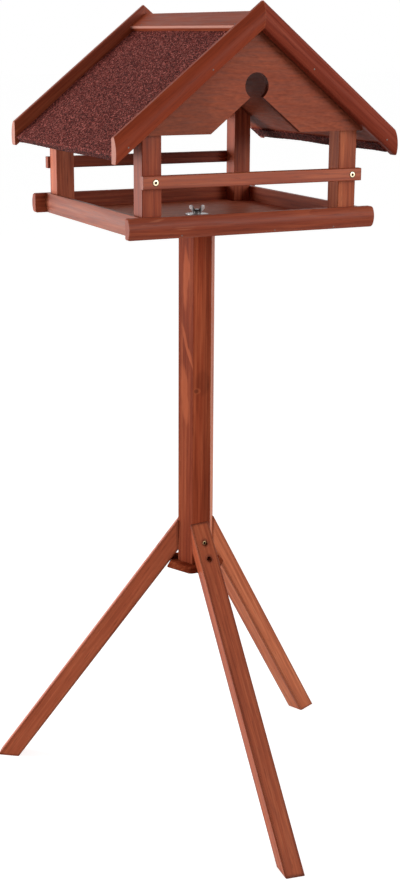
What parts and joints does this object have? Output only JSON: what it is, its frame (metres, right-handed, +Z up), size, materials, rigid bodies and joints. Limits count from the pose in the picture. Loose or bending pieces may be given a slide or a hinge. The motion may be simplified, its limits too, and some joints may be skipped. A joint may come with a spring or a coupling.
{
  "type": "bird feeder on a tripod pole",
  "caption": "Free-standing wooden bird feeder: a gabled, felt-roofed shelter over a rimmed tray, bolted to a hexagonal pole on splayed legs.",
  "frame": {"origin": "on the ground, under the middle of the feeder's bounding box", "axes": "+Z up; the shelter's front gable, with the front rail, faces -Y; +X is to its right"},
  "size_m": [0.5462, 0.537, 1.152],
  "materials": {
    "stained_pine": "red-brown wood stain, satin",
    "stained_plywood": "red-brown wood stain, satin",
    "roofing_felt": "mineral granules, matt",
    "zinc": "bright zinc plating"
  },
  "bodies": {
    "root": {"pole": "stained_pine", "base_plate": "stained_pine", "front_leg": "stained_pine", "left_leg": "stained_pine", "right_leg": "stained_pine", "front_rim": "stained_pine", "back_rim": "stained_pine", "left_rim": "stained_pine", "right_rim": "stained_pine", "front_left_post": "stained_pine", "front_right_post": "stained_pine", "back_left_post": "stained_pine", "back_right_post": "stained_pine", "front_rail": "stained_pine", "back_rail": "stained_pine", "front_left_barge": "stained_pine", "front_right_barge": "stained_pine", "back_left_barge": "stained_pine", "back_right_barge": "stained_pine", "left_ridge_strip": "stained_pine", "right_ridge_strip": "stained_pine", "floor_panel": "stained_plywood", "front_gable": "stained_plywood", "back_gable": "stained_plywood", "left_roof_panel": "stained_plywood", "right_roof_panel": "stained_plywood", "left_felt": "roofing_felt", "right_felt": "roofing_felt", "stud": "zinc", "washer": "zinc", "wing_nut": "zinc"}
  },
  "joints": []
}
